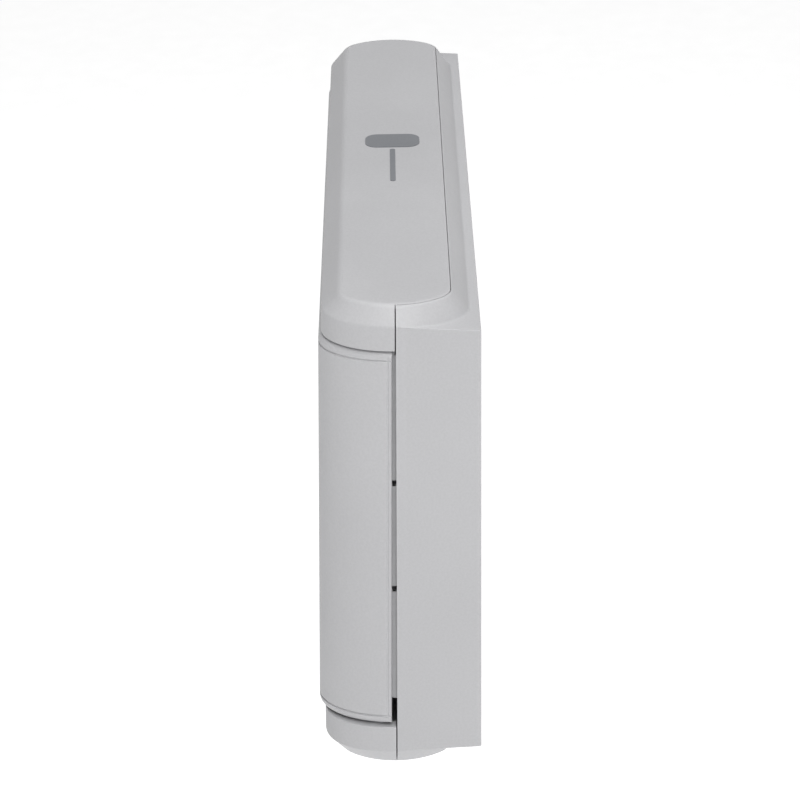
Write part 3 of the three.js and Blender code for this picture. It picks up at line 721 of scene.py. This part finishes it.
for sign in (1, -1):
    roof = field_end(-T, 4.0)
    roof[:, 1] = np.minimum(roof[:, 1], SEAM - GAP)
    right = [tuple(p) for p in roof[::-1]]
    outline = right + [(-x, d) for x, d in right[::-1]]
    z = sorted((sign * (END_TOP - WALL), sign * END_TOP))
    extras.append(rounded(prism("roof", outline, z[0], z[1], "z", True), 0.3, 2))
for x in (-120, -40, 40, 120):
    extras.append(rounded(slab("rib", (x - 0.9, x + 0.9), (WALL - 1, WALL + 4), (-116, 116)), 0.5))
for side in (-1, 1):
    for z in STOP_Z:
        seat = deep_at(SEAM - LIP, z) - 0.3 - PAD
        post = [(0, WALL - 1), (3.6, WALL - 1), (3.6, seat - 0.5), (3.1, seat), (0, seat)]
        extras.append(lathe("stop", post, "y", (side * STOP_X, 0, z), 32))
    c = slab("catch", (side * 203.3 - 0.5, side * 203.3 + 0.5), (33, 35), (-20, 35))
    extras.append(rounded(c, 0.3))
for x in KNUCKLES:
    h = SHELL_KNUCKLE / 2
    ring = [(HINGE_PIN_R + 0.15, -h), (HINGE_R - 0.4, -h), (HINGE_R, -h + 0.4)]
    ring += [(HINGE_R, h - 0.4), (HINGE_R - 0.4, h)]
    ring += [(HINGE_PIN_R + 0.15, h), (HINGE_PIN_R + 0.15, -h)]
    extras.append(lathe("knuckle", ring, "x", (x, HINGE_DEPTH, HINGE_Z), 40))
    for a, b in ((-HINGE_R, -HINGE_PIN_R - 0.2), (HINGE_PIN_R + 0.2, HINGE_R)):
        depths = (HINGE_DEPTH + a, HINGE_DEPTH + b)
        web = slab("web", (x - h, x + h), depths, (HINGE_Z, -END_TOP + 1))
        extras.append(rounded(web, 0.3))
merge(shell, extras)
place(shell, CASING, "shell", "casing", "back_shell")

# ---- Pieces: cover ----
cover = cover_moulding()
cutters = []
for side in (-1, 1):
    xs = sorted((side * (WIDTH / 2 - 12), side * (WIDTH / 2 - 1)))
    for z in SNAP_SLOTS:
        cutters.append(
            slab("slot", xs, (SEAM - 8, SEAM + 7), (z - SNAP_SLOT / 2, z + SNAP_SLOT / 2), True)
        )
    cutters.append(slab("corner", xs, (SEAM - 8, SEAM + 7), (RECESS_BOTTOM, LIP_BOTTOM), True))
for x in KNUCKLES:
    h = SHELL_KNUCKLE / 2 + KNUCKLE_GAP
    cutters.append(slab("notch", (x - h, x + h), (5, HINGE_DEPTH + 4), (-TOP - 5, -END_TOP - 0.5)))
cutters.append(prism("opening", stadium(TRIM_WALL + TRIM_CLEAR), 50, 100, "y"))
cutters.append(prism("lock", circle(0, LOCK_Z, LOCK_R + 0.3), 45, 105, "y"))
cutters += [prism("bore", circle(x, z, 1.8, 24), 55, 95, "y") for x, z in PANEL_SCREWS]
cover = carve(cover, cutters)
extras = []
outer_x = WIDTH / 2 - RECESS - 0.15
inner_x = outer_x - RECESS_WALL + 0.3
stretches = [
    (LIP_BOTTOM - 0.5, SNAP_SLOTS[1] - SNAP_SLOT / 2),
    (SNAP_SLOTS[1] + SNAP_SLOT / 2, SNAP_SLOTS[0] - SNAP_SLOT / 2),
    (SNAP_SLOTS[0] + SNAP_SLOT / 2, RECESS_TOP - 4),
]
for side in (-1, 1):
    xs = sorted((side * inner_x, side * outer_x))
    for z in stretches:
        extras.append(rounded(slab("lip", xs, (SEAM - LIP, SEAM + 2), z, True), 0.25, 2))
    bead_x = (side * 202.4 - 0.3, side * 202.4 + 0.3)
    bead = slab("bead", bead_x, (SEAM - LIP, SEAM - 3.5), (-18, 33), True)
    extras.append(rounded(bead, 0.15, 2))
edges = [-ROLL_HALF]
for x in KNUCKLES:
    edges += [x - SHELL_KNUCKLE / 2 - KNUCKLE_GAP, x + SHELL_KNUCKLE / 2 + KNUCKLE_GAP]
edges.append(ROLL_HALF)
for x0, x1 in zip(edges[::2], edges[1::2]):
    h = (x1 - x0) / 2
    near_hinge = min(abs(abs((x0 + x1) / 2) - HINGE_X), 99) < 2
    bore = HINGE_PIN_R + 0.3 if near_hinge else 0.0
    ring = [(bore, -h), (HINGE_R - 0.4, -h), (HINGE_R, -h + 0.4), (HINGE_R, h - 0.4)]
    ring += [(HINGE_R - 0.4, h), (bore, h)] + ([(bore, -h)] if bore else [])
    extras.append(lathe("roll", ring, "x", ((x0 + x1) / 2, HINGE_DEPTH, HINGE_Z), 40))
merge(cover, extras)
place(cover, CASING, "cover", "casing", "front_cover")

panel = panel_skin()
cutters = [
    prism("opening", stadium(TRIM_WALL + TRIM_CLEAR), 50, 105, "y"),
    prism("lock", circle(0, LOCK_Z, LOCK_HEAD_R + 0.3), 45, 105, "y"),
]
panel = carve(panel, cutters, 50)
bosses = []
for x, z in PANEL_SCREWS:
    back, face = deep_at(FRONT - RECESS, z) + 0.35, panel_face(z) - 1
    ring = [(1.8, back), (3.6, back), (4, back + 0.4), (4, face), (1.8, face), (1.8, back)]
    bosses.append(lathe("boss", ring, "y", (x, 0, z), 32))
merge(panel, bosses, 50)
place(panel, PANEL, "cover", "panel", "front_panel")

place(trim_ring(), TRIM, "cover", "trim", "opening_trim")

# ---- The carried-over nodes ----
CARRIED = {
    "mark_tag": (PRINT, 0), "mark_bar": (PRINT, 0),
    "lock_barrel": (LOCK, 0.5), "lock_nut": (STEEL, 0.4), "lock_plug": (LOCK, 0.35),
    "lock_cam": (STEEL, 0.4), "cam_screw": (STEEL, 0.2), "keeper": (STEEL, 0.4),
    "keeper_screw_right": (STEEL, 0.2), "keeper_screw_left": (STEEL, 0.2),
    "hinge_pin_right": (STEEL, 0.3), "hinge_pin_left": (STEEL, 0.3),
    "pack_shelf": (FITTINGS, 0.6),
    "pack_guide_right": (FITTINGS, 0.6), "pack_guide_left": (FITTINGS, 0.6),
    "bumper_upper_right": (RUBBER, 0.4), "bumper_upper_left": (RUBBER, 0.4),
    "bumper_lower_right": (RUBBER, 0.4), "bumper_lower_left": (RUBBER, 0.4),
}
for i in range(6):
    CARRIED[f"panel_screw_{i + 1}"] = (STEEL, 0.2)
for name, (mat, width) in CARRIED.items():
    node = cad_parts[name]
    node.data.materials.clear()
    node.data.materials.append(mat)
    if width:
        m = node.modifiers.new("edges", "BEVEL")
        m.width, m.segments, m.limit_method = width * MM, 3, "ANGLE"
        m.angle_limit = math.radians(40)

# ---- Floor, light and camera ----
bm = bmesh.new()
bmesh.ops.create_grid(bm, x_segments=8, y_segments=8, size=30)
mesh = bpy.data.meshes.new("floor")
bm.to_mesh(mesh)
bm.free()
floor = bpy.data.objects.new("floor", mesh)
bpy.context.scene.collection.objects.link(floor)
floor.location = (0, 0, -1.2)
floor.data.materials.append(
    finish_of("floor_pale", srgb(250), srgb(253), (0.8, 0.9), grain=40, bump=0.02, wear=0.0)
)

POWER = {"world": 0.22, "top": 42, "end_high": 64, "wall_side": 7.5, "floor": 0.66}
glow = floor.data.materials[0].node_tree.nodes["Principled BSDF"]
glow.inputs["Emission Color"].default_value = (1, 1, 1, 1)
glow.inputs["Emission Strength"].default_value = POWER["floor"]

scene = bpy.context.scene
scene.view_settings.view_transform = "Standard"
world = bpy.data.worlds.new("studio")
world.use_nodes = True
world.node_tree.nodes["Background"].inputs["Color"].default_value = (1, 1, 1, 1)
world.node_tree.nodes["Background"].inputs["Strength"].default_value = POWER["world"]
scene.world = world


def softbox(name, azimuth, elevation, distance, size, power):
    a, e = math.radians(azimuth), math.radians(elevation)
    away = Vector((math.sin(a) * math.cos(e), -math.cos(a) * math.cos(e), math.sin(e)))
    light = bpy.data.lights.new(name, "AREA")
    light.shape, light.size, light.energy = "SQUARE", size, power
    obj = bpy.data.objects.new(name, light)
    obj.location = away * distance
    obj.rotation_mode = "QUATERNION"
    obj.rotation_quaternion = (-away).to_track_quat("-Z", "Y")
    scene.collection.objects.link(obj)
    return obj


softbox("top", 90, 88, 3.0, 1.8, POWER["top"])
softbox("end_high", 95, 48, 3.2, 1.6, POWER["end_high"])
softbox("wall_side", 165, 25, 3.2, 2.0, POWER["wall_side"])

PITCH, ROLL, YAW = math.radians(26.91), math.radians(0.92), math.radians(0.09)
forward, right, down = Vector((-1, 0, 0)), Vector((0, 1, 0)), Vector((0, 0, -1))
f2 = math.cos(YAW) * forward + math.sin(YAW) * right
r2 = -math.sin(YAW) * forward + math.cos(YAW) * right
f3 = math.cos(PITCH) * f2 + math.sin(PITCH) * down
d3 = -math.sin(PITCH) * f2 + math.cos(PITCH) * down
r4 = math.cos(ROLL) * r2 + math.sin(ROLL) * d3
d4 = -math.sin(ROLL) * r2 + math.cos(ROLL) * d3
lens = bpy.data.cameras.new("camera")
lens.lens, lens.sensor_width = 117, 36
lens.clip_start, lens.clip_end = 0.01, 100
camera = bpy.data.objects.new("camera", lens)
axes = Matrix((r4, -d4, -f3)).transposed()
camera.matrix_world = Matrix.Translation((1.37466, -0.04288, 0.67926)) @ axes.to_4x4()
scene.collection.objects.link(camera)
scene.camera = camera
